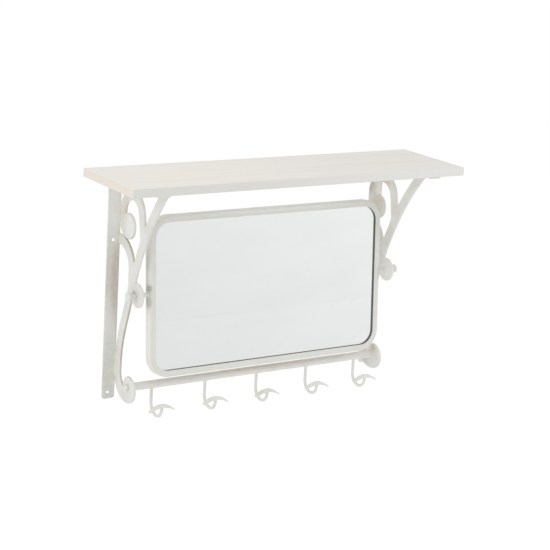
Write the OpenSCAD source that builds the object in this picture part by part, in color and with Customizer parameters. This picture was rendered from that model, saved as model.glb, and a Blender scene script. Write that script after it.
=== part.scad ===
// Wall shelf on scrolled iron brackets, with a tilting mirror and a rail of five hooks.
// Millimetres. X runs along the shelf, Y into the wall, Z up. The wall is the plane y = 0.
// The origin is the centre of the four wall holes. Bracket outlines are drawn in their own
// plane as [depth in front of the wall, height below the shelf's top face].

/* [Shelf] */
// Length of the board along the wall
shelf_w = 700; // [640:10:900]
// Depth of the board from the wall
shelf_d = 186; // [184:1:240]
// Thickness of the board
shelf_t = 16; // [12:1:20]
// Radius of the board's eased edges
shelf_ease = 1.5; // [0.5:0.5:3]

/* [Bracket strips] */
// Width of the flat strip seen from the front
strip_w = 25; // [20:1:30]
// Thickness of the flat strip
strip_t = 3; // [3:0.5:4]
// Length of the wall leg below the board's top face
strip_drop = 432; // [430:1:450]
// Length of the leg under the board
strip_reach = 183; // [175:1:184]
// Drop of the upper wall holes below the board's top face
hole_drop_upper = 134; // [100:1:160]
// Drop of the lower wall holes below the board's top face
hole_drop_lower = 421; // [400:1:424]
// Diameter of the wall holes
wall_hole_d = 5.5; // [4:0.5:6]
// Diameter of the countersink of the wall holes
wall_sink_d = 11; // [9:0.5:12]

/* [Scroll bars] */
// Distance from the object's middle to the inner face of the scroll bars
bar_x = 270; // [268:0.5:274]
// Thickness of the bars along the shelf
bar_t = 5; // [4:0.5:6]
// Width of the bars seen from the side
bar_w = 19; // [17:0.5:20]
// Radius of the bars' softened edges
bar_edge = 1.2; // [0.4:0.2:1.6]
// Outer radius of the arch and of the arm's bottom turn
turn_r = 44.5; // [43:0.5:46]
// Radius of the arm's lower bend
arm_low_r = 238; // [230:2:250]
// Radius of the arm's upper bend
arm_high_r = 538; // [520:2:560]
// Radius of the bottom scroll's snub end
snub_r = 25; // [23:0.5:26]
// Radius of the last curl of the bottom scroll
curl_r = 16.5; // [15:0.5:18]
// Outer radius of the upper scroll
upper_scroll_r = 31.5; // [30:0.5:33]
// Radius of the upper scroll's snub end
upper_snub_r = 23.6; // [21:0.2:25]

/* [Mirror pivot] */
// Distance of the pivot axis from the wall
pivot_d = 72.5; // [71:0.5:75]
// Drop of the pivot axis below the board's top face
pivot_drop = 220; // [215:1:223]
// Radius of the domed boss
boss_r = 22.4; // [20:0.2:23]
// Thickness of the boss at its middle
boss_t = 8.8; // [7:0.2:8.8]
// Diameter of the stud in the boss
stud_d = 6; // [5:0.5:7]
// Diameter of the clamp knob
knob_d = 16.6; // [15:0.2:19]
// Rest tilt of the mirror, its top towards the wall (degrees)
mirror_tilt = 4.6; // [0:0.1:10]

/* [Mirror] */
// Outer width of the mirror frame
mirror_w = 503; // [440:0.5:510]
// Outer height of the mirror frame
mirror_h = 295; // [250:0.5:310]
// Outer corner radius of the mirror frame
mirror_r = 40; // [30:1:50]
// Depth of the mirror frame
frame_d = 16.3; // [15:0.1:20]
// Width of the frame's front lip
frame_lip = 12.4; // [10:0.2:14]
// Height of the pivot above the frame's middle
pivot_rise = 7.2; // [0:0.1:10]
// Distance of the frame's front plane in front of the pivot axis
frame_front = 7.5; // [7:0.1:9]
// Depth of the glass behind the front plane
glass_recess = 4.5; // [3.5:0.1:5]
// Thickness of the glass
glass_t = 3; // [2:0.5:4]

/* [Rail and hooks] */
// Diameter of the rail
rail_d = 15; // [13:0.5:16]
// Distance of the rail's axis from the wall
rail_depth = 52.5; // [50:0.5:54]
// Drop of the rail's axis below the board's top face
rail_drop = 397.2; // [395:0.1:402]
// Distance from hook to hook
hook_pitch = 112.5; // [80:0.5:118]
// Diameter of the hook wire
wire_d = 6; // [5:0.5:7]
// Radius of the hook's turn, on the wire's centre line
hook_r = 20.5; // [18:0.5:23]
// Drop of the hook's turn centre below the board's top face
hook_drop = 430.5; // [426:0.5:434]
// Half length of the crossbar on the end of a hook
crossbar_half = 25.2; // [20:0.2:32]

/* [Hidden] */
$fn = 96;

iron = "#e6e2d6";
whitewash = "#efece4";
rubber = "#1c1c1c";
silver = "#cfd6d8";

left = -1;
right = 1;
slack = 0.1;
past = 2;
lap = 0.5;
seat = 0.02;

shelf_top = (hole_drop_upper + hole_drop_lower) / 2;
strip_x = bar_x + bar_t;
hole_x = strip_x + strip_w / 2;
under_board = -shelf_t;
strip_bend = 6;
strip_corner = 5;
screw_depths = [40, 100, 155];
screw_d = 3.6;
screw_grip = 11;

half_bar = bar_w / 2;
weld_gap = 0.1;
arm_foot = -384;
arm_low_start = -368.5;
arm_low_turn = 19.2;
arm_straight = 103;
arm_high_turn = 24;

turn_at = [turn_r, arm_foot];
inner_turn_r = 24;
inner_turn_at = [bar_w + inner_turn_r, arm_foot + 7];
snub_lean = 22.7;
snub_at = turn_at + (turn_r - snub_r) * [sin(snub_lean), -cos(snub_lean)];
curl_at = [snub_at[0], snub_at[1] + snub_r - curl_r];

arch_at = [turn_r, -79];
arch_lean = 10;
arch_leg = 48;
upper_scroll_at = [upper_scroll_r, -95.2];
upper_snub_lean = -2.9;
upper_snub_at = upper_scroll_at
    + (upper_scroll_r - upper_snub_r) * [sin(upper_snub_lean), -cos(upper_snub_lean)];
strut_r = 48.5;
strut_drop = 181;
strut_tail = 34;

pivot_at = [pivot_d, -pivot_drop];
boss_clear = 0.05;
boss_hub_r = 6;
boss_rim_t = 2;
boss_in = strip_x - (bar_t + boss_t) / 2;
boss_out = boss_in + boss_t;
shoulder_d = 8;
shoulder_gap = 0.3;
collar_d = 12;
collar_t = 2;
knob_gap = 0.2;
neck_d = 9;
neck_l = 9.5;
knob_edge = 5;
knob_start = boss_out + knob_gap;
stud_end = knob_start + neck_l + 4;

side_wall = 3;
gasket_t = 0.9;
lip_nose = 1.2;
glass_gap = 0.3;
back_t = 3;
clip_size = [14, 11, 1];
clip_tab = 3.5;

rail_at = [rail_depth, -rail_drop];
hook_count = 5;
button_d = 11;
button_h = 7;
button_screw_d = 5;
button_screw_l = 18;
socket_deep = 3.5;
hook_turn_at = [rail_depth + hook_r, -hook_drop];
hook_rise = 1.7;
crossbar_mid = [3.3, 5.4];
crossbar_tip = [1.2, 5];
crossbar_square = 0.6;
crossbar_r = 38;
crossbar_steps = 14;
crossbar_sides = 12;
tenon = 2.5;

// ---- placing ----

// From a bracket's own plane, x = depth, y = height, z = towards the middle, to its place
module on_side(side) {
    mirror([side == left ? 1 : 0, 0, 0])
        translate([bar_x + bar_t, 0, shelf_top])
            rotate([90, 0, -90])
                children();
}

// From the mirror's own frame, with its origin on the pivot axis, to its rest place
module on_pivot() {
    translate([0, -pivot_d, shelf_top - pivot_drop])
        rotate([-mirror_tilt, 0, 0])
            children();
}

// Turned pieces on an axis along the shelf, x = 0 in the middle, drawn with z pointing outwards
module on_axis(side, at) {
    mirror([side == left ? 1 : 0, 0, 0])
        translate([0, -at[0], shelf_top + at[1]])
            rotate([0, 90, 0])
                children();
}

// ---- sections and simple forms ----

// Points of a quarter circle of radius r round c, from the angle start
function quarter(c, r, start, steps = 3) =
    [for (i = [0 : steps]) c + r * [cos(start + 90 * i / steps), sin(start + 90 * i / steps)]];

// A rectangle with softened corners, centred on x and starting at y = 0
function soft_section(w, t, r) = concat(
    quarter([w / 2 - r, r], r, -90),
    quarter([w / 2 - r, t - r], r, 0),
    quarter([r - w / 2, t - r], r, 90),
    quarter([r - w / 2, r], r, 180)
);

// A round plate of radius r and thickness t with softened rims
module coin(at, r, t = bar_t, edge = bar_edge) {
    translate([at[0], at[1], 0])
        rotate_extrude()
            polygon(concat([[0, 0]], quarter([r - edge, edge], edge, -90),
                quarter([r - edge, t - edge], edge, 0), [[0, t]]));
}

// The cutter of a round opening whose rims are softened in the same way
module coin_hole(at, r, t = bar_t, edge = bar_edge) {
    flare = r + edge;
    lower = quarter([flare, edge], edge, 180);
    upper = quarter([flare, t - edge], edge, 90);
    translate([at[0], at[1], 0])
        rotate_extrude()
            polygon(concat([[0, -past], [flare, -past]], [for (i = [len(lower) - 1 : -1 : 0]) lower[i]],
                [for (i = [len(upper) - 1 : -1 : 0]) upper[i]], [[flare, t + past], [0, t + past]]));
}

// Points of a bar's section; a trimming section has plain corners and leaves room for the weld
function bar_points(inset, edge) = edge > 0
    ? [for (p = soft_section(bar_w - 2 * inset, bar_t - 2 * inset, edge)) p + [0, inset]]
    : let (reach = half_bar + weld_gap)
        [[-reach, -past], [reach, -past], [reach, bar_t + past], [-reach, bar_t + past]];

// A bar laid along a route that starts at the origin towards +y. Each step is [length] for a
// straight or [radius, angle] for a bend, positive to the left. A straight is a hair thinner
// than the bends and enters them, so that every joint between them is a true overlap.
module bent_bar(route, edge = bar_edge, i = 0) {
    if (i < len(route)) {
        step = route[i];
        if (len(step) == 1) {
            translate([0, step[0] + lap, 0])
                rotate([90, 0, 0])
                    linear_extrude(step[0] + 2 * lap)
                        polygon(bar_points(seat, edge));
            translate([0, step[0], 0])
                bent_bar(route, edge, i + 1);
        } else {
            bend_to = step[1] > 0 ? 1 : -1;
            translate([-bend_to * step[0], 0, 0])
                mirror([bend_to > 0 ? 0 : 1, 0, 0])
                    rotate_extrude(angle = abs(step[1]))
                        translate([step[0], 0])
                            polygon(bar_points(0, edge));
            translate([-bend_to * step[0], 0, 0])
                rotate([0, 0, step[1]])
                    translate([bend_to * step[0], 0, 0])
                        bent_bar(route, edge, i + 1);
        }
    }
}

// A closed moulding round a rounded rectangle, front at z = 0. The child is its section, with
// the outer edge at x = 0 and the front at y = 0.
module moulding(w, h, r) {
    for (k = [0 : 3]) {
        half = (k % 2 == 0 ? [w, h] : [h, w]) / 2 - [r, r];
        rotate([0, 0, 90 * k]) {
            translate([half[0] + r, half[1], 0])
                rotate([90, 0, 0])
                    linear_extrude(2 * half[1])
                        children();
            translate([half[0], half[1], 0])
                rotate_extrude(angle = 90)
                    translate([r, 0])
                        children();
        }
    }
}

// A flat plate with four round corners, lying in x and y
module round_plate(w, h, r, t) {
    linear_extrude(t) {
        square([w - 2 * r, h], center = true);
        square([w, h - 2 * r], center = true);
        for (x = [-1, 1], y = [-1, 1])
            translate([x * (w / 2 - r), y * (h / 2 - r)])
                circle(r);
    }
}

// ---- shelf ----

module shelf_board() {
    color(whitewash)
        translate([0, 0, shelf_top])
            difference() {
                intersection() {
                    translate([-shelf_w / 2, -shelf_d / 2, -shelf_t])
                        rotate([90, 0, 90])
                            linear_extrude(shelf_w)
                                polygon(soft_section(shelf_d, shelf_t, shelf_ease));
                    translate([0, 0, -shelf_t])
                        rotate([90, 0, 0])
                            linear_extrude(shelf_d)
                                polygon(soft_section(shelf_w, shelf_t, shelf_ease));
                }
                for (x = [-hole_x, hole_x], d = screw_depths)
                    translate([x, -d, -shelf_t - past])
                        cylinder(h = screw_grip + past + slack, d = screw_d + slack);
            }
}

module shelf_screws() {
    head_d = 8;
    head_h = 2.4;
    head_round = 1.2;
    color("silver")
        for (x = [-hole_x, hole_x], d = screw_depths)
            translate([x, -d, shelf_top - shelf_t - strip_t])
                union() {
                    cylinder(h = strip_t + screw_grip, d = screw_d);
                    translate([0, 0, -head_h])
                        rotate_extrude()
                            polygon(concat([[0, 0]],
                                quarter([head_d / 2 - head_round, head_round], head_round, -90),
                                [[head_d / 2, head_h], [0, head_h]]));
                }
}

// ---- bracket ----

module bracket_strip(side) {
    wall_leg = strip_drop - shelf_t - strip_bend;
    shelf_leg = strip_reach - strip_bend;
    color(iron)
        on_side(side)
            translate([0, 0, -strip_w])
                difference() {
                    union() {
                        // leg on the wall, square at the bend and round-cornered at the foot
                        translate([0, -strip_drop, 0])
                            rotate([0, 90, 0])
                                translate([-strip_w / 2, wall_leg / 2, 0])
                                    intersection() {
                                        translate([0, strip_corner, 0])
                                            round_plate(strip_w, wall_leg + 2 * strip_corner,
                                                strip_corner, strip_t);
                                        translate([-strip_w, -wall_leg / 2, 0])
                                            cube([2 * strip_w, wall_leg, strip_t]);
                                    }
                        // leg under the board
                        translate([strip_bend, under_board, 0])
                            rotate([90, 0, 0])
                                translate([shelf_leg / 2, strip_w / 2, 0])
                                    intersection() {
                                        translate([-strip_corner, 0, 0])
                                            round_plate(shelf_leg + 2 * strip_corner, strip_w,
                                                strip_corner, strip_t);
                                        translate([-shelf_leg / 2, -strip_w, 0])
                                            cube([shelf_leg, 2 * strip_w, strip_t]);
                                    }
                        translate([strip_bend, under_board - strip_bend, 0])
                            rotate([0, 0, 90])
                                rotate_extrude(angle = 90)
                                    translate([strip_bend - strip_t, 0])
                                        square([strip_t, strip_w]);
                    }
                    for (drop = [hole_drop_upper, hole_drop_lower])
                        translate([0, -drop, strip_w / 2])
                            rotate([0, 90, 0]) {
                                translate([0, 0, -past])
                                    cylinder(h = strip_t + 2 * past, d = wall_hole_d);
                                translate([0, 0, strip_t - (wall_sink_d - wall_hole_d) / 2])
                                    cylinder(h = (wall_sink_d - wall_hole_d) / 2 + slack,
                                        d1 = wall_hole_d, d2 = wall_sink_d + 2 * slack);
                            }
                    for (d = screw_depths)
                        translate([d, under_board + past, strip_w / 2])
                            rotate([90, 0, 0])
                                cylinder(h = strip_t + 2 * past, d = screw_d + 4 * slack);
                }
}

// The arm from its foot up to the board
module arm_run(edge = bar_edge) {
    intersection() {
        translate([half_bar, arm_foot, 0])
            bent_bar([
                [arm_low_start - arm_foot],
                [arm_low_r, -arm_low_turn],
                [arm_straight],
                [arm_high_r, -arm_high_turn]
            ], edge);
        translate([-past, arm_foot - lap, -2 * past])
            cube([shelf_d, lap - arm_foot - shelf_t, bar_t + 4 * past]);
    }
}

// What the pieces welded to the arm are cut with, so that they end on its edge
module arm_trim() {
    arm_run(edge = 0);
}

// Wedge round a centre that keeps what lies between two angles
module wedge(at, from, to, reach) {
    mid = (from + to) / 2;
    translate([at[0], at[1], -past])
        linear_extrude(bar_t + 2 * past)
            polygon([[0, 0], reach * [cos(from), sin(from)], 1.5 * reach * [cos(mid), sin(mid)],
                reach * [cos(to), sin(to)]]);
}

// The arm's bottom turn. Its outline is three arcs, each smaller than the one before:
// the turn at the wall, the snub end and the last curl, with a tapering gap inside them.
module bottom_scroll() {
    difference() {
        union() {
            intersection() {
                coin(turn_at, turn_r);
                wedge(turn_at, 180, 270 + snub_lean, 2 * turn_r);
            }
            translate([half_bar + 2, arm_foot, 0])
                rotate([90, 0, 0])
                    translate([0, 0, arm_foot - inner_turn_at[1]])
                        linear_extrude(inner_turn_at[1] - arm_foot)
                            polygon(soft_section(bar_w + 4, bar_t, bar_edge));
            coin(snub_at, snub_r);
        }
        difference() {
            intersection() {
                coin_hole(inner_turn_at, inner_turn_r);
                translate([0, inner_turn_at[1] - 2 * inner_turn_r, -past])
                    cube([snub_at[0], 3 * inner_turn_r, bar_t + 2 * past]);
            }
            coin(curl_at, curl_r);
        }
    }
}

module main_arm(side) {
    color(iron)
        on_side(side)
            difference() {
                union() {
                    arm_run();
                    bottom_scroll();
                }
                translate([rail_at[0], rail_at[1], -past])
                    cylinder(h = bar_t + 2 * past, d = button_screw_d + 2 * slack);
            }
}

// The arch leaves the arm with a leg that leans back, turns over the crown, comes down at the
// wall and ends in the upper scroll
module arch_scroll(side) {
    arch_r = turn_r - half_bar;
    leg_foot = arch_at + arch_r * [cos(arch_lean), sin(arch_lean)]
        + arch_leg * [sin(arch_lean), -cos(arch_lean)];
    upper_turn = 90;
    color(iron)
        on_side(side)
            difference() {
                union() {
                    translate(leg_foot)
                        rotate([0, 0, arch_lean])
                            bent_bar([
                                [arch_leg],
                                [arch_r, 180 - arch_lean],
                                [arch_at[1] - upper_scroll_at[1]],
                                [upper_scroll_r - half_bar, upper_turn + upper_snub_lean]
                            ]);
                    coin(upper_snub_at, upper_snub_r);
                }
                arm_trim();
            }
}

module wall_strut(side) {
    color(iron)
        on_side(side)
            difference() {
                translate([strut_r, -strut_drop - strut_tail, 0])
                    bent_bar([[strut_tail], [strut_r, 90]]);
                arm_trim();
            }
}

// A lens with a small flat hub on both faces, thicker than the arm it is welded to
module pivot_boss(side) {
    face = [for (a = [0 : 10 : 90])
        [boss_hub_r + (boss_r - boss_hub_r) * sin(a),
            boss_rim_t / 2 + (boss_t - boss_rim_t) / 2 * cos(a)]];
    color(iron)
        difference() {
            on_axis(side, pivot_at)
                translate([0, 0, (boss_in + boss_out) / 2])
                    difference() {
                        rotate_extrude()
                            polygon(concat([[0, boss_t / 2]], face,
                                [for (i = [len(face) - 1 : -1 : 0]) [face[i][0], -face[i][1]]],
                                [[0, -boss_t / 2]]));
                        cylinder(h = boss_t + 2 * past, d = stud_d + 2 * boss_clear, center = true);
                    }
            on_side(side)
                arm_trim();
        }
}

// ---- mirror ----

// Places a plate or moulding, drawn with its front at z = 0, at a depth behind the frame's front
module in_frame(behind = 0) {
    on_pivot()
        translate([0, behind - frame_front, -pivot_rise])
            rotate([-90, 0, 0])
                children();
}

// Section of the frame: a rounded front lip with a notch for the black strip, and a side wall
module frame_section() {
    outer_round = 4.5;
    nose_round = 1;
    polygon(concat(
        [[0, frame_d], [-side_wall, frame_d], [-side_wall, glass_recess],
            [gasket_t - frame_lip, glass_recess], [gasket_t - frame_lip, lip_nose],
            [-frame_lip, lip_nose]],
        quarter([nose_round - frame_lip, nose_round], nose_round, 180),
        quarter([-outer_round, outer_round], outer_round, -90, 5)
    ));
}

module mirror_frame() {
    color(iron)
        in_frame()
            moulding(mirror_w, mirror_h, mirror_r)
                frame_section();
}

module glass_gasket() {
    color(rubber)
        in_frame()
            moulding(mirror_w, mirror_h, mirror_r)
                translate([-frame_lip + slack, lip_nose])
                    square([gasket_t - slack, glass_recess - lip_nose]);
}

module pane(t) {
    inset = side_wall + glass_gap;
    round_plate(mirror_w - 2 * inset, mirror_h - 2 * inset, mirror_r - inset, t);
}

module mirror_glass() {
    color(silver)
        in_frame(glass_recess)
            pane(glass_t);
}

module mirror_back_board() {
    color("#8a6a48")
        in_frame(glass_recess + glass_t)
            pane(back_t);
}

// Small bent clips between the frame's side wall and the back board
module back_clips() {
    reach_x = mirror_w / 2 - side_wall;
    reach_y = mirror_h / 2 - side_wall;
    color("silver")
        in_frame(glass_recess + glass_t + back_t)
            for (k = [0 : 3]) {
                out = k % 2 == 0 ? reach_x : reach_y;
                spread = k % 2 == 0 ? mirror_h / 4 : mirror_w / 3.5;
                rotate([0, 0, 90 * k])
                    for (y = [-spread, spread])
                        translate([out - clip_size[0], y - clip_size[1] / 2, 0])
                            union() {
                                cube(clip_size);
                                translate([clip_size[0] - clip_size[2], 0, 0])
                                    cube([clip_size[2], clip_size[1], clip_tab]);
                            }
            }
}

// Stepped stud: a collar on the frame's side, a shoulder up to the boss, then the plain end
module pivot_stud(side) {
    collar_at = mirror_w / 2;
    color(iron)
        on_axis(side, pivot_at) {
            translate([0, 0, collar_at])
                cylinder(h = collar_t, d = collar_d);
            translate([0, 0, collar_at])
                cylinder(h = boss_in - shoulder_gap - collar_at, d = shoulder_d);
            translate([0, 0, collar_at])
                cylinder(h = stud_end - collar_at, d = stud_d);
        }
}

module clamp_knob(side) {
    ball_at = knob_start + neck_l + knob_edge - 1;
    color(iron)
        on_axis(side, pivot_at)
            difference() {
                union() {
                    translate([0, 0, knob_start])
                        cylinder(h = ball_at - knob_start, d = neck_d);
                    translate([0, 0, ball_at])
                        rotate_extrude()
                            intersection() {
                                union() {
                                    translate([knob_d / 2 - knob_edge, 0])
                                        circle(knob_edge);
                                    translate([0, -knob_edge])
                                        square([knob_d / 2 - knob_edge, 2 * knob_edge]);
                                }
                                translate([0, -knob_d])
                                    square([knob_d, 2 * knob_d]);
                            }
                }
                translate([0, 0, knob_start - past])
                    cylinder(h = stud_end + knob_gap - knob_start + past,
                        d = stud_d + 2 * boss_clear);
            }
}

// ---- rail and hooks ----

module hook_rail() {
    color(iron)
        difference() {
            on_axis(right, rail_at)
                difference() {
                    translate([0, 0, -bar_x])
                        cylinder(h = 2 * bar_x, d = rail_d);
                    for (z = [-bar_x - past, bar_x - button_screw_l + bar_t])
                        translate([0, 0, z])
                            cylinder(h = button_screw_l - bar_t + past, d = button_screw_d + slack);
                }
            for (i = [1 : hook_count])
                translate([hook_at(i), -rail_at[0], shelf_top + rail_at[1] - rail_d / 2 - past])
                    cylinder(h = socket_deep + past, d = wire_d + slack);
        }
}

// Round-headed screw through the scroll into the end of the rail
module rail_button(side) {
    head_at = bar_x + bar_t;
    rim = 2;
    color(iron)
        on_axis(side, rail_at) {
            translate([0, 0, head_at])
                rotate_extrude()
                    polygon(concat([[0, 0]], [[button_d / 2, 0]],
                        [for (a = [0 : 10 : 90]) [button_d / 2 * cos(a), rim + (button_h - rim) * sin(a)]]));
            translate([0, 0, head_at - button_screw_l])
                cylinder(h = button_screw_l + slack, d = button_screw_d);
        }
}

function hook_at(i) = (i - (hook_count + 1) / 2) * hook_pitch;

// One J of round wire: the stem out of the rail, the half turn and the tenon of the crossbar
module hook_wire(i) {
    stem = rail_at[1] - rail_d / 2 + socket_deep - slack - hook_turn_at[1];
    color(iron)
        translate([hook_at(i), 0, shelf_top])
            rotate([90, 0, -90])
                translate([rail_at[0], hook_turn_at[1], 0]) {
                    rotate([-90, 0, 0])
                        cylinder(h = stem, d = wire_d);
                    translate([hook_r, 0, 0])
                        rotate([0, 0, 180])
                            rotate_extrude(angle = 180)
                                translate([hook_r, 0])
                                    circle(d = wire_d);
                    translate([2 * hook_r, 0, 0])
                        rotate([-90, 0, 0])
                            cylinder(h = hook_rise + tenon, d = wire_d);
                }
}

// Half of a rounded oblong: 1 at the ends of its axis, squarer than an ellipse in between
function squared(c) = sign(c) * abs(c) ^ crossbar_square;

// Ring of points of the crossbar at s from -1 to 1, which thins out towards both ends
function crossbar_ring(s) =
    let (
        turn = s * asin(crossbar_half / crossbar_r),
        taper = 1 - abs(s) ^ 1.6,
        high = crossbar_tip[0] + (crossbar_mid[0] - crossbar_tip[0]) * taper,
        wide = crossbar_tip[1] + (crossbar_mid[1] - crossbar_tip[1]) * taper
    )
    [for (k = [0 : crossbar_sides - 1])
        let (a = 360 * k / crossbar_sides, r = crossbar_r + high * squared(sin(a)))
        [r * sin(turn), wide * squared(cos(a)), r * cos(turn) - crossbar_r]];

// A flat bar bent downwards to both ends
module crescent() {
    rings = [for (j = [0 : crossbar_steps]) crossbar_ring(-1 + 2 * j / crossbar_steps)];
    n = crossbar_sides;
    points = [for (ring = rings) each ring];
    skin = [for (j = [0 : crossbar_steps - 1], k = [0 : n - 1])
        [j * n + k, j * n + (k + 1) % n, (j + 1) * n + (k + 1) % n, (j + 1) * n + k]];
    start = [for (k = [n - 1 : -1 : 0]) k];
    end = [for (k = [0 : n - 1]) crossbar_steps * n + k];
    polyhedron(points, concat([start], skin, [end]));
}

module hook_crossbar(i) {
    rise = crossbar_mid[0] - 0.4;
    color(iron)
        translate([hook_at(i), -hook_turn_at[0] - hook_r, shelf_top + hook_turn_at[1] + hook_rise])
            difference() {
                translate([0, 0, rise])
                    crescent();
                translate([0, 0, -past])
                    cylinder(h = past + tenon + slack, d = wire_d + slack);
            }
}

shelf_board();
shelf_screws();
bracket_strip(left);  // left_bracket_strip
bracket_strip(right);  // right_bracket_strip
main_arm(left);  // left_main_arm
main_arm(right);  // right_main_arm
arch_scroll(left);  // left_arch_scroll
arch_scroll(right);  // right_arch_scroll
wall_strut(left);  // left_wall_strut
wall_strut(right);  // right_wall_strut
pivot_boss(left);  // left_pivot_boss
pivot_boss(right);  // right_pivot_boss
mirror_frame();
glass_gasket();
mirror_glass();
mirror_back_board();
back_clips();
pivot_stud(left);  // left_pivot_stud
pivot_stud(right);  // right_pivot_stud
clamp_knob(left);  // left_clamp_knob
clamp_knob(right);  // right_clamp_knob
hook_rail();
rail_button(left);  // left_rail_button
rail_button(right);  // right_rail_button
hook_wire(1);  // hook_wire_1
hook_wire(2);  // hook_wire_2
hook_wire(3);  // hook_wire_3
hook_wire(4);  // hook_wire_4
hook_wire(5);  // hook_wire_5
hook_crossbar(1);  // hook_crossbar_1
hook_crossbar(2);  // hook_crossbar_2
hook_crossbar(3);  // hook_crossbar_3
hook_crossbar(4);  // hook_crossbar_4
hook_crossbar(5);  // hook_crossbar_5
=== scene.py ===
"""Looks of a wall shelf with scrolled iron brackets, a tilting mirror and five hooks."""

import math
import random

import bmesh
import bpy
from bpy.props import FloatProperty, FloatVectorProperty, PointerProperty
from mathutils import Matrix, Vector


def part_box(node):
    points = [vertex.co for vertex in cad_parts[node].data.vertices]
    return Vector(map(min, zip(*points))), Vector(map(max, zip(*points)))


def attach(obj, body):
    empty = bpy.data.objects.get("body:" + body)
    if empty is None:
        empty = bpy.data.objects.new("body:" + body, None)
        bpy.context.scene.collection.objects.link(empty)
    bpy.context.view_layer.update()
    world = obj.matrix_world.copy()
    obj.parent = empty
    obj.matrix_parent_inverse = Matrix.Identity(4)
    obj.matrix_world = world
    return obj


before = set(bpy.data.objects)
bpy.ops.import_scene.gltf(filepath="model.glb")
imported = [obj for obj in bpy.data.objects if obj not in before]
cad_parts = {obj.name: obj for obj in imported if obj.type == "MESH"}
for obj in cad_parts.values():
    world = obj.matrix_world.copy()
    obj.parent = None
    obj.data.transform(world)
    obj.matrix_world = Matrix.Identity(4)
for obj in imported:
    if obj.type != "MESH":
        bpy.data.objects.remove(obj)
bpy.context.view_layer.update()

bl_info = {
    "name": "Wall Shelf with Mirror and Hooks",
    "version": (1, 0, 0),
    "blender": (4, 5, 0),
    "location": "3D View > Sidebar > Wall Shelf",
    "description": "Finishes and small parts of a painted iron wall shelf",
    "category": "Object",
}

SIDES = (("left", -1), ("right", 1))
HOOKS = range(1, 6)
X_AXIS, Y_AXIS, Z_AXIS = Vector((1, 0, 0)), Vector((0, 1, 0)), Vector((0, 0, 1))


# ---- settings ----

def colour(name, description, default):
    """A colour of the settings panel, given in linear light."""
    return FloatVectorProperty(
        name=name, description=description, default=default,
        subtype="COLOR", size=3, min=0.0, max=1.0,
    )


def size(name, description, default, low, high):
    """A length of the settings panel, in metres."""
    return FloatProperty(
        name=name, description=description, default=default, min=low, max=high,
        precision=4, subtype="DISTANCE", unit="LENGTH",
    )


def angle(name, description, degrees):
    """An angle of the settings panel, given in degrees."""
    return FloatProperty(
        name=name, description=description, default=math.radians(degrees),
        subtype="ANGLE", unit="ROTATION",
    )


class WALLSHELF_stage_settings(bpy.types.PropertyGroup):
    """Camera and floor"""

    camera_at: FloatVectorProperty(
        name="Camera Position", description="Where the camera stands",
        default=(-1.6013, -2.5186, 0.8413), size=3, precision=4,
        subtype="XYZ", unit="LENGTH",
    )
    azimuth: angle("Azimuth", "Turn of the camera round the object, 0 looks at the wall",
                   -33.455)
    elevation: angle("Elevation", "Height of the camera above the horizon", 14.753)
    roll: angle("Roll", "Lean of the camera round its line of sight", 3.596)
    lens: FloatProperty(
        name="Focal Length", description="Focal length on a sensor 36 mm wide",
        default=106.82, min=10.0, max=500.0, subtype="DISTANCE_CAMERA",
    )
    floor_drop: size("Floor Drop", "Distance of the floor below the wall holes' centre",
                     1.35, 0.2, 3.0)


class WALLSHELF_finish_settings(bpy.types.PropertyGroup):
    """Colours of the finishes"""

    paint: colour("Iron Paint", "Matt paint of the brackets, rail and hooks",
                  (0.80, 0.80, 0.76))
    # also painted light on the right boss, which is lit less
    fresh_and_lit: colour("Fresh Paint", "Cool white of unworn paint", (0.88, 0.90, 0.88))
    rub: colour("Rubbed Paint", "Brown where the paint is rubbed", (0.44, 0.33, 0.23))
    tan: colour("Aged Paint", "Warm tone of aged paint", (0.68, 0.62, 0.51))
    # also painted shade on the mirror frame's front faces
    moss_and_shade: colour("Greyed Paint", "Grey-green tone of thin paint", (0.58, 0.59, 0.55))
    ochre: colour("Stained Paint", "Yellow brown of stained paint", (0.60, 0.49, 0.35))
    # painted shade in the gaps at the pivots, round the rail's buttons and round the left
    # stud
    painted_shade: colour("Gap_Shade", "Dirt in the gaps at the pivots", (0.14, 0.15, 0.11))
    frame_paint: colour("Frame Paint", "Paint of the mirror frame", (0.80, 0.80, 0.76))
    wash: colour("Whitewash", "Thin wash on the board", (0.85, 0.82, 0.775))
    grain: colour("Board Grain", "Wood that shows through the wash", (0.70, 0.62, 0.52))
    peach: colour("Warm Wood", "Warm tone of the board's ends and of the rail's rubbed top",
                  (0.87, 0.74, 0.60))
    # a cooler wash on the board's front edge, with painted shade that is darkest at the
    # left end
    front_wash_and_shade_left: colour("Board Front, Left", "Wash on the front edge's left end",
                       (0.70, 0.705, 0.685))
    front_wash_and_shade_right: colour("Board Front, Right", "Wash on the front edge's right end",
                        (0.83, 0.83, 0.81))
    glass: colour("Mirror Glass", "Tint of the silvered glass", (0.86, 0.875, 0.865))
    # painted reflection: the glass darker towards its lower left corner
    haze_and_reflection: colour("Mirror Haze", "Tint of the glass where it is hazy", (0.73, 0.75, 0.74))
    strip: colour("Black Strip", "Strip between glass and frame", (0.100, 0.105, 0.095))
    strip_dust: colour("Strip Dust", "Dust on the black strip", (0.20, 0.20, 0.19))
    back_dark: colour("Back Board, Dark", "Dark fibres of the back board",
                      (0.20, 0.115, 0.055))
    back_light: colour("Back Board, Light", "Light fibres of the back board",
                       (0.34, 0.215, 0.12))
    zinc_dull: colour("Zinc, Dull", "Dull patches of the screws and clips",
                      (0.50, 0.51, 0.50))
    zinc_bright: colour("Zinc, Bright", "Bright patches of the screws and clips",
                        (0.68, 0.69, 0.68))


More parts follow.
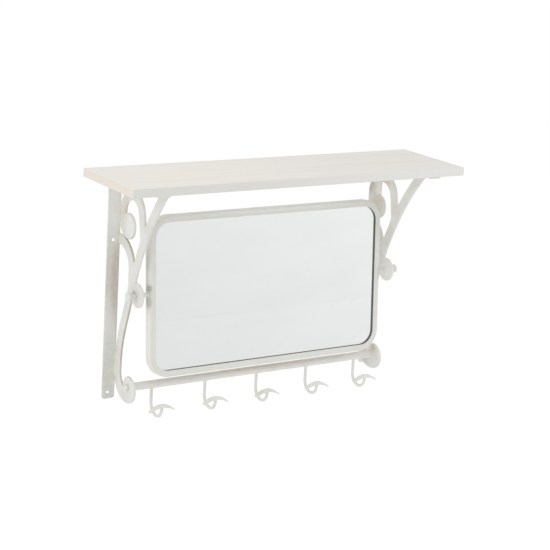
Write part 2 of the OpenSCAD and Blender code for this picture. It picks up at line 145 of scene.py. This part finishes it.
class WALLSHELF_weld_settings(bpy.types.PropertyGroup):
    """Sizes of the weld beads round the rail and the hooks"""

    rail_bead: size("Rail Weld", "Thickness of the bead round each end of the rail",
                    0.0013, 0.0005, 0.0020)
    hook_bead: size("Hook Weld", "Thickness of the bead round the top of each hook",
                    0.0010, 0.0005, 0.0020)
    tip_bead: size("Crossbar Weld", "Thickness of the beads beside the tip of each hook",
                   0.0011, 0.0005, 0.0020)


# ---- shader maths ----

STAIN_SHAKE = 0.006  # metres that a stain's rim wanders
STAIN_FADE = 0.7  # share of a stain's reach over which it fades out
STAIN_COVER = 0.7  # how far a stain hides the paint where it breaks up

# Sockets of the Mix node when it mixes colours
MIX_FACTOR, MIX_A, MIX_B, MIX_RESULT = 0, 6, 7, 2


class Value:
    """A shader socket that takes part in arithmetic, each operator adding its Math node."""

    def __init__(self, nodes, socket):
        self.nodes = nodes
        self.socket = socket

    def __add__(self, other):
        return self.nodes.math("ADD", self, other)

    def __sub__(self, other):
        return self.nodes.math("SUBTRACT", self, other)

    def __rsub__(self, other):
        return self.nodes.math("SUBTRACT", other, self)

    def __mul__(self, other):
        return self.nodes.math("MULTIPLY", self, other)

    __radd__ = __add__
    __rmul__ = __mul__


class Nodes:
    """A node tree and the calls that add nodes to it."""

    def __init__(self, tree):
        self.tree = tree
        tree.nodes.clear()

    def plug(self, target, value):
        """Sets a socket to a number, colour or vector, or links it to another socket."""
        if isinstance(value, Value):
            self.tree.links.new(value.socket, target)
        elif target.type == "RGBA" and len(value) == 3:
            target.default_value = (*value, 1.0)
        else:
            target.default_value = value

    def node(self, kind, settings=None, sockets=None, out=0):
        """Any node: its settings are set first, then its sockets."""
        made = self.tree.nodes.new("ShaderNode" + kind)
        for key, setting in (settings or {}).items():
            setattr(made, key, setting)
        for key, value in (sockets or {}).items():
            self.plug(made.inputs[key], value)
        return Value(self, made.outputs[out]) if made.outputs else made

    def math(self, operation, *values):
        """A Math node."""
        return self.node("Math", {"operation": operation}, dict(enumerate(values)))

    def vector(self, operation, *values, out=0):
        """A Vector Math node. Out is 0 for its vector and 1 for its number."""
        return self.node("VectorMath", {"operation": operation}, dict(enumerate(values)),
                         out)

    def mix(self, factor, a, b):
        """Colour a where factor is 0, colour b where it is 1."""
        return self.node("Mix", {"data_type": "RGBA"},
                         {MIX_FACTOR: factor, MIX_A: a, MIX_B: b}, MIX_RESULT)

    def between(self, value, low, high):
        """0 below low, 1 above high, smooth in between."""
        return self.node("MapRange", {"interpolation_type": "SMOOTHSTEP"},
                         {"Value": value, "From Min": low, "From Max": high})

    def seen(self):
        """1 for the rays of the camera, of gloss and of clear glass."""
        camera, gloss, clear = (
            self.node("LightPath", out=kind)
            for kind in ("Is Camera Ray", "Is Glossy Ray", "Is Transmission Ray")
        )
        return self.math("MAXIMUM", self.math("MAXIMUM", camera, gloss), clear)


class Finish(Nodes):
    """One material, with the shader at its end."""

    def __init__(self, name):
        self.material = bpy.data.materials.new(name)
        self.material.use_nodes = True
        super().__init__(self.material.node_tree)
        shader = self.node("BsdfPrincipled")
        self.shader = shader.socket.node
        self.node("OutputMaterial", {}, {"Surface": shader})

    def place(self, scale=(1, 1, 1), at=(0, 0, 0), turn=(0, 0, 0)):
        """Object coordinates, moved, turned and stretched."""
        return self.node(
            "Mapping", {"vector_type": "POINT"},
            {"Vector": self.node("TexCoord", out="Object"), "Location": at,
             "Rotation": turn, "Scale": scale},
        )

    def along(self, axis):
        """How far a point lies along the axis X, Y or Z, in metres."""
        return self.node("SeparateXYZ", {}, {0: self.place()}, out=axis)

    def noise(self, where, scale, detail=3.0, rough=0.5, distortion=0.0, out=0):
        """Cloudy noise. Out is 0 for a number and 1 for a colour."""
        return self.node(
            "TexNoise", {},
            {"Vector": where, "Scale": scale, "Detail": detail, "Roughness": rough,
             "Distortion": distortion},
            out,
        )

    def patches(self, where, scale, low, high):
        """Soft patches of cloudy noise, 0 to 1."""
        return self.between(self.noise(where, scale, detail=4, rough=0.6), low, high)

    def ragged(self):
        """Object coordinates shaken a little, which gives a stain a ragged rim."""
        where = self.place()
        shake = self.vector(
            "SUBTRACT", self.noise(where, scale=90, detail=3, rough=0.6, out=1),
            (0.5, 0.5, 0.5),
        )
        return self.vector("ADD", where, self.vector("MULTIPLY", shake, (STAIN_SHAKE,) * 3))

    def spot(self, where, at, reach):
        """1 inside an ellipsoid round a place, fading to 0 at its rim."""
        away = self.vector("DIVIDE", self.vector("SUBTRACT", where, at), reach)
        distance = self.vector("LENGTH", away, out=1)
        return 1 - self.between(distance, low=1 - STAIN_FADE, high=1.0)

    def cover(self, breaks):
        """How far a stain hides the paint: less where it breaks up."""
        return STAIN_COVER + breaks * (1 - STAIN_COVER)

    def layers(self, tint, *tones):
        """The tint with tones laid over it in order, each with its amount from 0 to 1."""
        for amount, tone in tones:
            tint = self.mix(amount, tint, tone)
        return tint

    def stain_and_light(self, tint, where, stains, look, cover):
        """The tint with its stains, painted shade and painted light laid over it in order,
        as far as they cover it.
        """
        return self.layers(tint, *(
            (self.spot(where, at, reach) * cover * strength, getattr(look, tone))
            for at, reach, tone, strength in stains
        ))

    def facing(self, axis):
        """1 on faces square to an axis, whichever way they look."""
        normal = self.node("NewGeometry", out="Normal")
        share = self.vector("DOT_PRODUCT", normal, axis, out=1)
        return self.between(self.math("ABSOLUTE", share), low=0.55, high=0.85)

    def edges(self, radius):
        """1 along sharp edges, 0 on flat faces."""
        normal = self.node("NewGeometry", out="Normal")
        rounded = self.node("Bevel", {"samples": 6}, {"Radius": radius})
        turned = 1 - self.vector("DOT_PRODUCT", normal, rounded, out=1)
        return self.between(turned, low=0.015, high=0.16)

    def bump(self, height, strength, distance):
        """A normal that follows a height, distance metres high at most."""
        return self.node("Bump", {}, {"Height": height, "Strength": strength,
                                      "Distance": distance})

    def set(self, **sockets):
        """Sets or links the shader's own sockets; underscores stand for spaces."""
        for key, value in sockets.items():
            self.plug(self.shader.inputs[key.replace("_", " ")], value)
        return self.material


# ---- stains and painted light ----

# Stains that the photograph shows, each: centre, reach, tone and strength.
# Among them are painted shade in the gaps at the pivots and round the rail's buttons, and
# painted light on the right boss.
IRON_STAINS_AND_LIGHT = (
    # left wall strip: rubbed brown below the upper hole, grey-green further down,
    # hardly worn above
    ((-0.280, -0.003, 0.070), (0.014, 0.012, 0.092), "rub", 0.33),
    ((-0.293, -0.003, 0.080), (0.012, 0.012, 0.130), "moss_and_shade", 0.12),
    ((-0.288, -0.003, -0.100), (0.022, 0.014, 0.110), "moss_and_shade", 0.55),
    ((-0.288, -0.003, -0.152), (0.022, 0.014, 0.036), "moss_and_shade", 0.55),
    ((-0.288, -0.003, 0.215), (0.020, 0.014, 0.085), "fresh_and_lit", 0.60),
    # left scrolls: warm at the arch's wall end, clean on its disc
    ((-0.273, -0.018, 0.190), (0.012, 0.016, 0.045), "tan", 0.60),
    ((-0.275, -0.036, 0.178), (0.010, 0.030, 0.030), "fresh_and_lit", 0.65),
    # left arm: a little grey above, painted shade round the rail's button where it meets
    # the disc, grey boss
    ((-0.272, -0.090, 0.120), (0.012, 0.120, 0.180), "moss_and_shade", 0.14),
    ((-0.275, -0.052, -0.120), (0.004, 0.0085, 0.0085), "painted_shade", 0.45),
    ((-0.273, -0.050, -0.130), (0.010, 0.040, 0.040), "moss_and_shade", 0.22),
    ((-0.280, -0.074, 0.057), (0.014, 0.028, 0.030), "moss_and_shade", 0.35),
    # right scrolls: brown at the arch's wall end and its disc
    ((0.272, -0.004, 0.215), (0.012, 0.022, 0.030), "rub", 0.60),
    ((0.270, -0.033, 0.180), (0.010, 0.028, 0.030), "tan", 0.62),
    ((0.272, -0.054, 0.225), (0.010, 0.020, 0.025), "tan", 0.80),
    ((0.272, -0.091, 0.182), (0.010, 0.020, 0.022), "tan", 0.45),
    # right arm and boss: clean above, painted light on the boss, which is lit less, yellow
    # brown at the bottom turn
    ((0.272, -0.065, 0.125), (0.010, 0.035, 0.050), "moss_and_shade", 0.30),
    ((0.272, -0.125, 0.190), (0.012, 0.070, 0.085), "fresh_and_lit", 0.45),
    ((0.272, -0.074, 0.057), (0.012, 0.030, 0.030), "fresh_and_lit", 0.85),
    ((0.270, -0.052, -0.107), (0.010, 0.012, 0.009), "ochre", 0.80),
    ((0.270, -0.036, -0.136), (0.010, 0.034, 0.026), "moss_and_shade", 0.50),
    ((0.270, -0.030, -0.138), (0.010, 0.016, 0.012), "ochre", 0.35),
    # right knob
    ((0.290, -0.072, 0.057), (0.008, 0.014, 0.014), "moss_and_shade", 0.20),
    # rail: a rubbed streak along its top
    ((-0.010, -0.054, -0.112), (0.130, 0.009, 0.0045), "peach", 0.50),
    ((-0.010, -0.054, -0.112), (0.120, 0.007, 0.0030), "ochre", 0.28),
    ((0.120, -0.054, -0.112), (0.120, 0.009, 0.0045), "peach", 0.42),
    # painted shade in the gaps between the bosses and the knobs
    ((-0.278, -0.066, 0.060), (0.004, 0.006, 0.009), "painted_shade", 0.75),
    ((0.278, -0.066, 0.060), (0.004, 0.006, 0.009), "painted_shade", 0.30),
)

# The same on the bars' narrow faces only.
EDGE_STAINS = (
    # left bracket: brown along the strut and the front of the arm
    ((-0.272, -0.038, 0.135), (0.010, 0.034, 0.042), "rub", 0.65),
    ((-0.272, -0.035, -0.030), (0.010, 0.050, 0.140), "rub", 0.62),
    # right bracket
    ((0.272, -0.095, 0.160), (0.010, 0.100, 0.100), "tan", 0.24),
)

FRAME_STAINS_AND_SHADE = (
    # clean along the top
    ((0.020, -0.060, 0.197), (0.300, 0.030, 0.012), "fresh_and_lit", 0.72),
    # painted shade above and below the left stud, where its boss shades the frame; grey
    # round the right stud and above the left one
    ((-0.252, -0.075, 0.068), (0.008, 0.012, 0.010), "painted_shade", 0.45),
    ((-0.252, -0.075, 0.043), (0.008, 0.012, 0.013), "painted_shade", 0.35),
    ((0.252, -0.075, 0.060), (0.008, 0.012, 0.022), "moss_and_shade", 0.50),
    ((-0.251, -0.066, 0.140), (0.008, 0.010, 0.050), "moss_and_shade", 0.45),
    # warm on the top's left half
    ((-0.100, -0.060, 0.197), (0.120, 0.014, 0.008), "tan", 0.12),
)


# ---- finishes ----

def painted_iron(look):
    """Matt paint with brush marks, rubbed brown on edges and stained by age, with painted
    shade in the gaps at the pivots and round the rail's buttons, and painted light on the
    right boss.
    """
    finish = Finish("painted_iron")
    where = finish.place()
    warm = finish.patches(where, scale=24, low=0.46, high=0.74)
    grey = finish.patches(finish.place(at=(3, 5, 7)), scale=19, low=0.48, high=0.76)
    breaks = finish.patches(where, scale=130, low=0.38, high=0.62)
    lumps = finish.noise(where, scale=110, detail=3, rough=0.55)
    brush = finish.noise(where, scale=520, detail=4, rough=0.65)
    narrow = 1 - finish.facing(X_AXIS)
    bald = finish.patches(where, scale=70, low=0.48, high=0.60)
    worn = finish.edges(radius=0.0012) * bald
    specks = finish.between(finish.noise(where, scale=330, detail=2), low=0.70, high=0.76)
    ragged, cover = finish.ragged(), finish.cover(breaks)

    tint = finish.layers(
        look.paint,
        (warm * 0.30, look.tan),
        (grey * 0.26, look.moss_and_shade),
        (narrow * breaks * 0.10, look.moss_and_shade),
        (worn * 0.45, look.rub),
        (specks * 0.35, look.rub),
    )
    tint = finish.stain_and_light(tint, ragged, IRON_STAINS_AND_LIGHT, look, cover)
    tint = finish.stain_and_light(tint, ragged, EDGE_STAINS, look, cover * narrow)
    return finish.set(
        Base_Color=tint, Specular_IOR_Level=0.35,
        Roughness=0.48 + worn * 0.2 + brush * 0.14 + grey * 0.06,
        Normal=finish.bump(lumps * 0.75 + brush * 0.25, strength=0.35, distance=0.0006),
    )


def painted_frame(look):
    """Smoother paint with runs, rubbed on the moulding's edges, with painted shade on its
    front faces and round the left stud.
    """
    finish = Finish("painted_frame")
    where = finish.place()
    warm = finish.patches(where, scale=16, low=0.46, high=0.76)
    grey = finish.patches(finish.place(at=(2, 4, 1)), scale=12, low=0.46, high=0.74)
    breaks = finish.patches(where, scale=120, low=0.38, high=0.62)
    brush = finish.noise(finish.place(scale=(0.4, 1, 1)), scale=420, detail=4, rough=0.6)
    runs = finish.noise(where, scale=60, detail=2)
    bald = finish.patches(where, scale=46, low=0.50, high=0.62)
    worn = finish.edges(radius=0.0014) * bald

    tint = finish.layers(
        look.frame_paint,
        (warm * 0.20, look.tan),
        (grey * 0.20, look.moss_and_shade),
        (worn * 0.40, look.rub),
        # painted shade: the moulding's front faces darker than its sides
        (finish.facing(Y_AXIS) * 0.24, look.moss_and_shade),
    )
    tint = finish.stain_and_light(tint, finish.ragged(), FRAME_STAINS_AND_SHADE, look, finish.cover(breaks))
    return finish.set(
        Base_Color=tint, Specular_IOR_Level=0.4,
        Roughness=0.40 + brush * 0.16 + worn * 0.2,
        Normal=finish.bump(runs * 0.7 + brush * 0.3, strength=0.22, distance=0.0006),
    )


def whitewashed_board(look):
    """Thin wash with the grain showing along the board and rings on its ends."""
    finish = Finish("whitewashed_board")
    fibre = finish.noise(finish.place(scale=(0.05, 1, 1)), scale=260, detail=5, rough=0.62,
                         distortion=0.3)
    bands = finish.noise(finish.place(scale=(0.06, 1, 1)), scale=70, detail=4, rough=0.55,
                         distortion=0.5)
    streak = finish.between(bands, low=0.42, high=0.70)
    cloud = finish.patches(finish.place(scale=(0.5, 1, 1)), scale=7, low=0.40, high=0.72)
    year = finish.noise(finish.place(scale=(1, 0.35, 1)), scale=260, detail=4, rough=0.6)
    rings = finish.between(year, low=0.42, high=0.66)
    rightward = finish.between(finish.along("X"), low=-0.30, high=0.36)
    ends = finish.facing(X_AXIS)
    front = finish.facing(Y_AXIS)
    bald = finish.patches(finish.place(), scale=34, low=0.46, high=0.62)
    worn = finish.edges(radius=0.0013) * bald

    tint = finish.layers(
        look.wash,
        (streak * (0.09 + rightward * 0.10), look.grain),
        (cloud * 0.10, look.peach),
        (finish.between(fibre, low=0.50, high=0.72) * 0.12, look.grain),
        (rightward * 0.26, look.moss_and_shade),
        # painted shade on the front edge, darker than the top and lightening towards the
        # right, over a cooler wash
        (front * 0.75, finish.mix(rightward, look.front_wash_and_shade_left, look.front_wash_and_shade_right)),
        (ends * (0.15 + rings * 0.25), look.peach),
        (ends * 0.25, look.grain),
        (worn * 0.40, look.grain),
    )
    return finish.set(
        Base_Color=tint, Specular_IOR_Level=0.3,
        Roughness=0.58 + streak * 0.12 + worn * 0.1,
        Normal=finish.bump(fibre * 0.6 + streak * 0.4, strength=0.35, distance=0.0005),
    )


def silvered_glass(look):
    """Mirror glass with a painted reflection that darkens it towards its lower left corner,
    broken by a cloudy smear.
    """
    finish = Finish("silvered_glass")
    smear = finish.noise(finish.place(scale=(1, 1, 2.5), turn=(0, 0.5, 0)), scale=7,
                         detail=4, rough=0.6)
    # painted reflection: darker towards the lower left, broken by the smear
    fall = 0.52 - finish.along("X") * 0.9 - finish.along("Z") * 1.3 + smear * 0.5
    haze_and_reflection = finish.between(fall, low=0.0, high=1.3)
    return finish.set(
        Base_Color=finish.mix(haze_and_reflection, look.glass, look.haze_and_reflection), Metallic=1.0,
        Roughness=0.015 + finish.between(smear, low=0.45, high=0.8) * 0.05,
    )


def black_strip(look):
    """Dusty black rubber."""
    finish = Finish("black_strip")
    dust = finish.noise(finish.place(), scale=400, detail=3, rough=0.6)
    return finish.set(
        Base_Color=finish.mix(dust * 0.5, look.strip, look.strip_dust),
        Roughness=0.55 + dust * 0.2,
        Normal=finish.bump(dust, strength=0.1, distance=0.0003),
    )


def hardboard(look):
    """Brown pressed fibre."""
    finish = Finish("hardboard")
    fibre = finish.noise(finish.place(scale=(1, 1, 3)), scale=220, detail=5, rough=0.7)
    light = finish.between(fibre, low=0.3, high=0.7)
    return finish.set(
        Base_Color=finish.mix(light, look.back_dark, look.back_light), Roughness=0.8,
        Normal=finish.bump(fibre, strength=0.3, distance=0.0004),
    )


def zinc_steel(look):
    """Zinc-plated steel with dull and bright patches."""
    finish = Finish("zinc_steel")
    patch = finish.noise(finish.place(), scale=180, detail=3, rough=0.6)
    return finish.set(
        Base_Color=finish.mix(patch, look.zinc_dull, look.zinc_bright), Metallic=1.0,
        Roughness=0.28 + patch * 0.25,
    )


# Each finish and the parts that have it.
FINISHES = {
    painted_iron: (
        *(f"{side}_{part}" for side, _ in SIDES for part in (
            "bracket_strip", "main_arm", "arch_scroll", "wall_strut", "pivot_boss",
            "pivot_stud", "clamp_knob", "rail_button")),
        "hook_rail",
        *(f"hook_{part}_{number}" for part in ("wire", "crossbar") for number in HOOKS),
    ),
    painted_frame: ("mirror_frame",),
    whitewashed_board: ("shelf_board",),
    silvered_glass: ("mirror_glass",),
    black_strip: ("glass_gasket",),
    hardboard: ("mirror_back_board",),
    zinc_steel: ("shelf_screws", "back_clips"),
}


# ---- stage ----

CLIP_RANGE = (0.05, 100.0)  # nearest and furthest distance that the camera sees
FLOOR_HALF = 8.0  # metres from the floor's middle to its edges
FLOOR_PAINT = 0.9
FLOOR_GLOW = 0.215  # what brings the lit floor to white in the camera and in the mirror
LIT_PLACE = (0, -0.1, 0.05)  # where the lamps point

# Soft lamps of the studio: name, place, width in metres and power in watts.
LAMPS = (
    ("key", (-1.0, -1.4, 3.2), 2.6, 4.0),
    ("side", (-3.0, -0.6, 0.6), 2.6, 12.0),
    ("right", (3.0, -0.6, 0.8), 2.6, 20.0),
)
WORLD_LIGHT = 0.87  # strength of the even light that comes from all round
WORLD_SHOWN = 1.0  # strength that shows as white


class WALLSHELF_OT_stage(bpy.types.Operator):
    """Sets up the camera, the floor and the soft studio light"""

    bl_idname = "wall_shelf.stage"
    bl_label = "Stage"

    def execute(self, context):
        stage = context.scene.wall_shelf_stage
        self.camera(context.scene, stage)
        self.floor(context.scene, stage)
        self.lights(context.scene)
        self.world(context.scene)
        context.scene.view_settings.view_transform = "Standard"
        return {"FINISHED"}

    def camera(self, scene, stage):
        """Places the camera that the photograph was fitted with."""
        lens = bpy.data.cameras.new("camera")
        lens.sensor_width = 36.0
        lens.lens = stage.lens
        lens.clip_start, lens.clip_end = CLIP_RANGE
        body = bpy.data.objects.new("camera", lens)
        scene.collection.objects.link(body)
        turn, lift = stage.azimuth, stage.elevation
        back = Vector((math.sin(turn) * math.cos(lift), -math.cos(turn) * math.cos(lift),
                       math.sin(lift)))
        across = Z_AXIS.cross(back).normalized()
        up = back.cross(across)
        across, up = (across * math.cos(stage.roll) + up * math.sin(stage.roll),
                      up * math.cos(stage.roll) - across * math.sin(stage.roll))
        body.matrix_world = (Matrix.Translation(stage.camera_at)
                             @ Matrix((across, up, back)).transposed().to_4x4())
        scene.camera = body

    def floor(self, scene, stage):
        """Lays a floor that shows white in the camera and in the mirror."""
        mesh = bpy.data.meshes.new("floor")
        shape = bmesh.new()
        bmesh.ops.create_grid(shape, x_segments=1, y_segments=1, size=FLOOR_HALF,
                              matrix=Matrix.Translation((0, 0, -stage.floor_drop)))
        shape.to_mesh(mesh)
        shape.free()
        floor = bpy.data.objects.new("floor", mesh)
        scene.collection.objects.link(floor)
        finish = Finish("floor")
        floor.data.materials.append(finish.set(
            Base_Color=(FLOOR_PAINT,) * 3, Roughness=0.9, Emission_Strength=1.0,
            Emission_Color=finish.mix(finish.seen(), (0, 0, 0), (FLOOR_GLOW,) * 3),
        ))

    def lights(self, scene):
        """Hangs the soft lamps, each turned to the shelf."""
        for name, at, wide, power in LAMPS:
            lamp = bpy.data.lights.new(name, "AREA")
            lamp.shape, lamp.size, lamp.energy = "DISK", wide, power
            holder = bpy.data.objects.new(name, lamp)
            scene.collection.objects.link(holder)
            holder.location = at
            aim = Vector(LIT_PLACE) - Vector(at)
            holder.rotation_mode = "QUATERNION"
            holder.rotation_quaternion = aim.to_track_quat("-Z", "Y")

    def world(self, scene):
        """Makes an even light that shows as white behind the shelf."""
        world = bpy.data.worlds.new("studio")
        world.use_nodes = True
        scene.world = world
        nodes = Nodes(world.node_tree)
        light, shown = (
            nodes.node("Background", {}, {"Color": (1, 1, 1), "Strength": strength})
            for strength in (WORLD_LIGHT, WORLD_SHOWN)
        )
        surface = nodes.node("MixShader", {}, {0: nodes.seen(), 1: light, 2: shown})
        nodes.node("OutputWorld", {}, {"Surface": surface})


class WALLSHELF_OT_finishes(bpy.types.Operator):
    """Gives every part of the shelf its finish"""

    bl_idname = "wall_shelf.finishes"
    bl_label = "Finishes"

    def execute(self, context):
        look = context.scene.wall_shelf_finish
        for make, names in FINISHES.items():
            material = make(look)
            for name in names:
                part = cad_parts[name]
                part.data.materials.clear()
                part.data.materials.append(material)
        return {"FINISHED"}


# ---- welds ----

# Straight beads of one bracket, each: start, end and thickness. X counts outwards from the
# middle of the shelf.
BRACKET_WELDS = (
    # arch on the arm, above and below
    ((0.2710, -0.0925, 0.1855), (0.2740, -0.0925, 0.1855), 0.0018),
    ((0.2710, -0.0770, 0.1560), (0.2740, -0.0770, 0.1560), 0.0018),
    # strut on the arm, above and below
    ((0.2710, -0.0565, 0.1125), (0.2740, -0.0565, 0.1125), 0.0018),
    ((0.2710, -0.0385, 0.0620), (0.2740, -0.0385, 0.0620), 0.0016),
    # arch, strut and arm on the wall strip
    ((0.2751, -0.0034, 0.1700), (0.2751, -0.0034, 0.1770), 0.0013),
    ((0.2751, -0.0034, 0.1380), (0.2751, -0.0034, 0.1520), 0.0013),
    ((0.2751, -0.0034, -0.1120), (0.2751, -0.0034, -0.0680), 0.0013),
    # arm on the strip under the board
    ((0.2751, -0.1680, 0.2583), (0.2751, -0.1490, 0.2583), 0.0013),
    # along the arch's seam, outside and inside
    ((0.2744, -0.0780, 0.1585), (0.2744, -0.0917, 0.1832), 0.0010),
    ((0.2706, -0.0780, 0.1585), (0.2706, -0.0917, 0.1832), 0.0010),
    # along the strut's seam, outside and inside
    ((0.2744, -0.0393, 0.0640), (0.2744, -0.0560, 0.1102), 0.0010),
    ((0.2706, -0.0393, 0.0640), (0.2706, -0.0560, 0.1102), 0.0010),
    # boss on the arm, above and below
    ((0.2710, -0.0550, 0.0795), (0.2740, -0.0550, 0.0795), 0.0015),
    ((0.2710, -0.0650, 0.0448), (0.2740, -0.0650, 0.0448), 0.0015),
)

RAIL_END = Vector((0.2698, -0.0525, -0.1197))  # middle of the rail's end, x outwards
RAIL_RING = 0.0077  # radius of the bead round the rail's end
HOOK_DROP = 0.0074  # from the rail's middle line down to the bead round a hook's top
HOOK_RING = 0.0032  # radius of that bead
RING_SIDES, RING_STEPS = 10, 28  # flats round a ring bead's section and along its ring
# Start and end of the bead beside a hook's tip, x from the hook's middle
TIP_BEAD = (Vector((0.0034, -0.0920, -0.1502)), Vector((0.0034, -0.0952, -0.1502)))

WELD_SEED = 11
DROP_STEP = 0.8  # distance from drop to drop of a bead, in thicknesses
DROP_SPREAD = 0.12  # how much a drop's place and size vary, in thicknesses


class WALLSHELF_OT_welds(bpy.types.Operator):
    """Builds the weld beads where the bars, the rail and the hooks meet"""

    bl_idname = "wall_shelf.welds"
    bl_label = "Welds"

    def execute(self, context):
        weld = context.scene.wall_shelf_weld
        chance = random.Random(WELD_SEED)
        for side, sign in SIDES:
            outwards = Vector((sign, 1, 1))
            shape = bmesh.new()
            for start, end, thick in BRACKET_WELDS:
                self.bead(shape, chance, Vector(start) * outwards, Vector(end) * outwards,
                          thick)
            self.ring(shape, RAIL_END * outwards, X_AXIS, RAIL_RING, weld.rail_bead)
            self.finish_piece(shape, f"{side}_welds")
        shape = bmesh.new()
        for number in HOOKS:
            low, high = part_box(f"hook_wire_{number}")
            middle = (low[0] + high[0]) / 2
            self.ring(shape, Vector((middle, RAIL_END.y, RAIL_END.z - HOOK_DROP)),
                      Z_AXIS, HOOK_RING, weld.hook_bead)
            for way in (-1, 1):
                start, end = (Vector((middle + way * at.x, at.y, at.z)) for at in TIP_BEAD)
                self.bead(shape, chance, start, end, weld.tip_bead)
        self.finish_piece(shape, "hook_welds")
        return {"FINISHED"}

    def bead(self, shape, chance, start, end, thick):
        """A row of overlapping drops, as a weld leaves them."""
        count = max(2, round((end - start).length / (thick * DROP_STEP)) + 1)
        for i in range(count):
            centre = start.lerp(end, i / (count - 1))
            centre += Vector([chance.uniform(-DROP_SPREAD, DROP_SPREAD) * thick
                              for _ in range(3)])
            swell = chance.uniform(1 - DROP_SPREAD, 1 + DROP_SPREAD)
            bmesh.ops.create_icosphere(shape, subdivisions=2, radius=thick * swell,
                                       matrix=Matrix.Translation(centre))

    def ring(self, shape, centre, axis, reach, thick):
        """A closed fillet round a bar that ends against another."""
        out = axis.orthogonal().normalized()
        hoops = []
        for step in range(RING_STEPS):
            turn = Matrix.Rotation(math.tau * step / RING_STEPS, 3, axis)
            hoops.append([])
            for side in range(RING_SIDES):
                around = math.tau * side / RING_SIDES
                at = out * (reach + thick * math.sin(around))
                at += axis * thick * math.cos(around)
                hoops[-1].append(shape.verts.new(centre + turn @ at))
        for hoop, after in zip(hoops, hoops[1:] + hoops[:1]):
            for side in range(RING_SIDES):
                shape.faces.new((hoop[side - 1], hoop[side], after[side], after[side - 1]))

    def finish_piece(self, shape, name):
        """Makes the beads one smooth painted piece that stays with the brackets."""
        bmesh.ops.remove_doubles(shape, verts=shape.verts[:], dist=1e-6)
        bmesh.ops.recalc_face_normals(shape, faces=shape.faces[:])
        for face in shape.faces:
            face.smooth = True
        mesh = bpy.data.meshes.new(name)
        shape.to_mesh(mesh)
        shape.free()
        piece = bpy.data.objects.new(name, mesh)
        bpy.context.scene.collection.objects.link(piece)
        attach(piece, "bracket_shelf")
        piece.data.materials.append(bpy.data.materials["painted_iron"])


# ---- panel and registration ----

class WALLSHELF_PT_panel(bpy.types.Panel):
    """The steps that make the shelf's looks"""

    bl_idname = "WALLSHELF_PT_panel"
    bl_label = "Wall Shelf"
    bl_space_type = "VIEW_3D"
    bl_region_type = "UI"
    bl_category = "Wall Shelf"

    def draw(self, context):
        for step in STEPS:
            self.layout.operator(step.bl_idname)


STEPS = (WALLSHELF_OT_stage, WALLSHELF_OT_finishes, WALLSHELF_OT_welds)
SETTINGS = {
    "wall_shelf_stage": WALLSHELF_stage_settings,
    "wall_shelf_finish": WALLSHELF_finish_settings,
    "wall_shelf_weld": WALLSHELF_weld_settings,
}


def register():
    for group in SETTINGS.values():
        bpy.utils.register_class(group)
    for name, group in SETTINGS.items():
        setattr(bpy.types.Scene, name, PointerProperty(type=group))
    for step in STEPS:
        bpy.utils.register_class(step)
    bpy.utils.register_class(WALLSHELF_PT_panel)


def unregister():
    bpy.utils.unregister_class(WALLSHELF_PT_panel)
    for step in reversed(STEPS):
        bpy.utils.unregister_class(step)
    for name in SETTINGS:
        delattr(bpy.types.Scene, name)
    for group in SETTINGS.values():
        bpy.utils.unregister_class(group)


def main():
    register()
    bpy.ops.wall_shelf.stage()
    bpy.ops.wall_shelf.finishes()
    bpy.ops.wall_shelf.welds()


if __name__ == "__main__":
    main()
